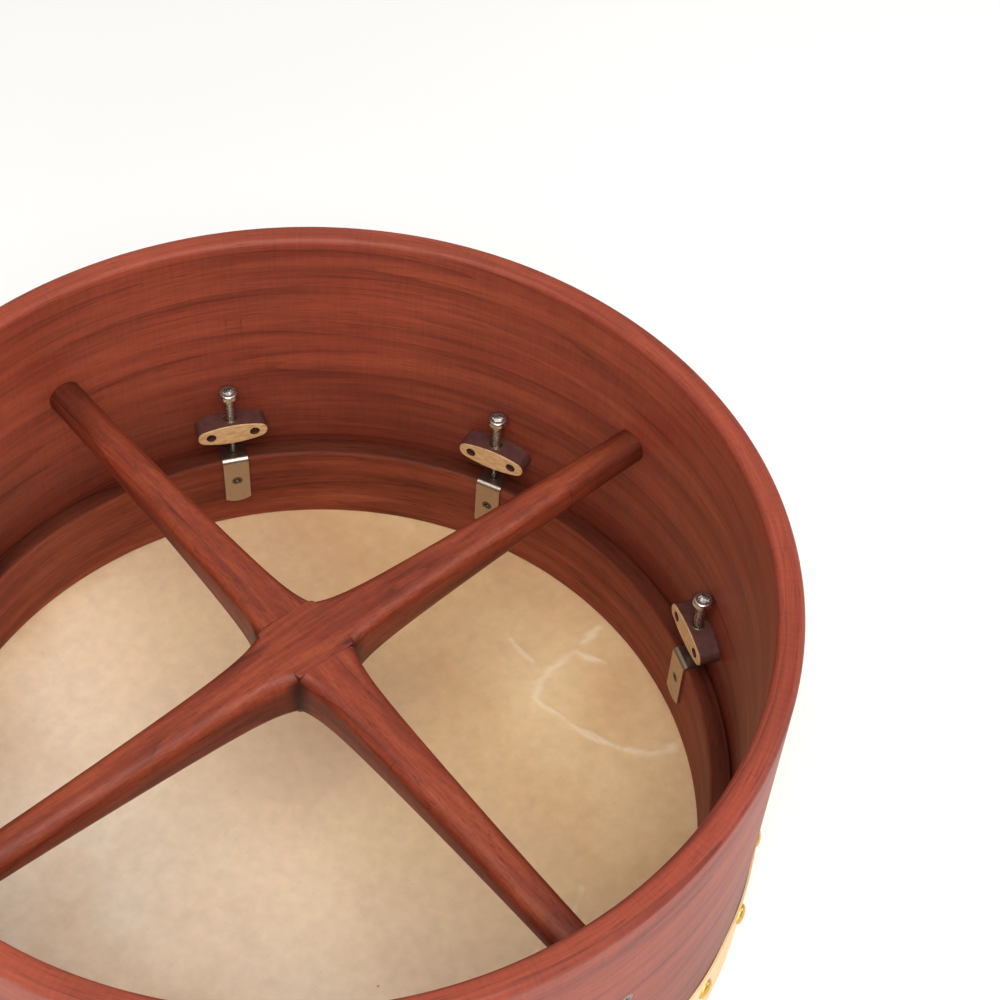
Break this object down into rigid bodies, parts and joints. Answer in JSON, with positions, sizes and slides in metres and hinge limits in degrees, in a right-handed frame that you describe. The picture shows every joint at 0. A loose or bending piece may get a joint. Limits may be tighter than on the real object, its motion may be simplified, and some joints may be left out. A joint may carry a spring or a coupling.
{
  "type": "bodhran",
  "caption": "Deep internally tuned frame drum with a wooden hoop, goatskin head, crossed hand bars and socket-head tuning bolts that press an inner ring.",
  "frame": {"origin": "centre of the skin's outer face, which the drum rests on", "axes": "+Z from the skin to the open back; +X along the long crossbar, +Y along the lapped one"},
  "size_m": [0.4114, 0.4114, 0.183],
  "materials": {
    "stained_hoop": "gloss",
    "stained_ring": "satin",
    "stained_bar": "satin",
    "lug_wood": "satin",
    "goatskin": "matte",
    "strap_steel": "satin",
    "bolt_steel": "gloss",
    "zinc_screw": "satin",
    "brass_insert": "satin",
    "brass_tack": "gloss"
  },
  "bodies": {
    "shell": {"shell": "stained_hoop", "head": "goatskin", "head_tacks": "brass_tack", "crossbar_long": "stained_bar", "crossbar_cross": "stained_bar", "crossbar_screws": "zinc_screw", "lug_block_1": "lug_wood", "lug_block_2": "lug_wood", "lug_block_3": "lug_wood", "lug_block_4": "lug_wood", "lug_block_5": "lug_wood", "lug_block_6": "lug_wood", "lug_block_7": "lug_wood", "lug_block_8": "lug_wood", "lug_insert_1": "brass_insert", "lug_insert_2": "brass_insert", "lug_insert_3": "brass_insert", "lug_insert_4": "brass_insert", "lug_insert_5": "brass_insert", "lug_insert_6": "brass_insert", "lug_insert_7": "brass_insert", "lug_insert_8": "brass_insert", "lug_screws_1": "zinc_screw", "lug_screws_2": "zinc_screw", "lug_screws_3": "zinc_screw", "lug_screws_4": "zinc_screw", "lug_screws_5": "zinc_screw", "lug_screws_6": "zinc_screw", "lug_screws_7": "zinc_screw", "lug_screws_8": "zinc_screw"},
    "tuning_ring": {"tuning_ring": "stained_ring", "ring_bracket_1": "strap_steel", "ring_bracket_2": "strap_steel", "ring_bracket_3": "strap_steel", "ring_bracket_4": "strap_steel", "ring_bracket_5": "strap_steel", "ring_bracket_6": "strap_steel", "ring_bracket_7": "strap_steel", "ring_bracket_8": "strap_steel", "bracket_screw_1": "zinc_screw", "bracket_screw_2": "zinc_screw", "bracket_screw_3": "zinc_screw", "bracket_screw_4": "zinc_screw", "bracket_screw_5": "zinc_screw", "bracket_screw_6": "zinc_screw", "bracket_screw_7": "zinc_screw", "bracket_screw_8": "zinc_screw"},
    "tuning_bolt_1": {"tuning_bolt_1": "bolt_steel"},
    "tuning_bolt_2": {"tuning_bolt_2": "bolt_steel"},
    "tuning_bolt_3": {"tuning_bolt_3": "bolt_steel"},
    "tuning_bolt_4": {"tuning_bolt_4": "bolt_steel"},
    "tuning_bolt_5": {"tuning_bolt_5": "bolt_steel"},
    "tuning_bolt_6": {"tuning_bolt_6": "bolt_steel"},
    "tuning_bolt_7": {"tuning_bolt_7": "bolt_steel"},
    "tuning_bolt_8": {"tuning_bolt_8": "bolt_steel"}
  },
  "joints": [
    {"name": "ring_slide", "type": "slide", "parent": "shell", "child": "tuning_ring", "axis": [0, 0, -1], "range_m": [-0.003, 0.004], "deforming": ["head"]},
    {"name": "bolt_1_turn", "type": "hinge", "parent": "tuning_ring", "child": "tuning_bolt_1", "pos_m": [0.17261, 0.07115, 0.07], "axis": [0, 0, -1], "range_deg": [-1351, 1801]},
    {"name": "bolt_2_turn", "type": "hinge", "parent": "tuning_ring", "child": "tuning_bolt_2", "pos_m": [0.08038, 0.16851, 0.07], "axis": [0, 0, -1], "range_deg": [-1351, 1801]},
    {"name": "bolt_3_turn", "type": "hinge", "parent": "tuning_ring", "child": "tuning_bolt_3", "pos_m": [-0.07145, 0.17249, 0.07], "axis": [0, 0, -1], "range_deg": [-1351, 1801]},
    {"name": "bolt_4_turn", "type": "hinge", "parent": "tuning_ring", "child": "tuning_bolt_4", "pos_m": [-0.17249, 0.07145, 0.07], "axis": [0, 0, -1], "range_deg": [-1351, 1801]},
    {"name": "bolt_5_turn", "type": "hinge", "parent": "tuning_ring", "child": "tuning_bolt_5", "pos_m": [-0.17249, -0.07145, 0.07], "axis": [0, 0, -1], "range_deg": [-1351, 1801]},
    {"name": "bolt_6_turn", "type": "hinge", "parent": "tuning_ring", "child": "tuning_bolt_6", "pos_m": [-0.07145, -0.17249, 0.07], "axis": [0, 0, -1], "range_deg": [-1351, 1801]},
    {"name": "bolt_7_turn", "type": "hinge", "parent": "tuning_ring", "child": "tuning_bolt_7", "pos_m": [0.07145, -0.17249, 0.07], "axis": [0, 0, -1], "range_deg": [-1351, 1801]},
    {"name": "bolt_8_turn", "type": "hinge", "parent": "tuning_ring", "child": "tuning_bolt_8", "pos_m": [0.17186, -0.07295, 0.07], "axis": [0, 0, -1], "range_deg": [-1351, 1801]}
  ],
  "couplings": [
    {"joint": "bolt_1_turn", "follows": "ring_slide", "rad_per_m": 7854},
    {"joint": "bolt_2_turn", "follows": "ring_slide", "rad_per_m": 7854},
    {"joint": "bolt_3_turn", "follows": "ring_slide", "rad_per_m": 7854},
    {"joint": "bolt_4_turn", "follows": "ring_slide", "rad_per_m": 7854},
    {"joint": "bolt_5_turn", "follows": "ring_slide", "rad_per_m": 7854},
    {"joint": "bolt_6_turn", "follows": "ring_slide", "rad_per_m": 7854},
    {"joint": "bolt_7_turn", "follows": "ring_slide", "rad_per_m": 7854},
    {"joint": "bolt_8_turn", "follows": "ring_slide", "rad_per_m": 7854}
  ]
}
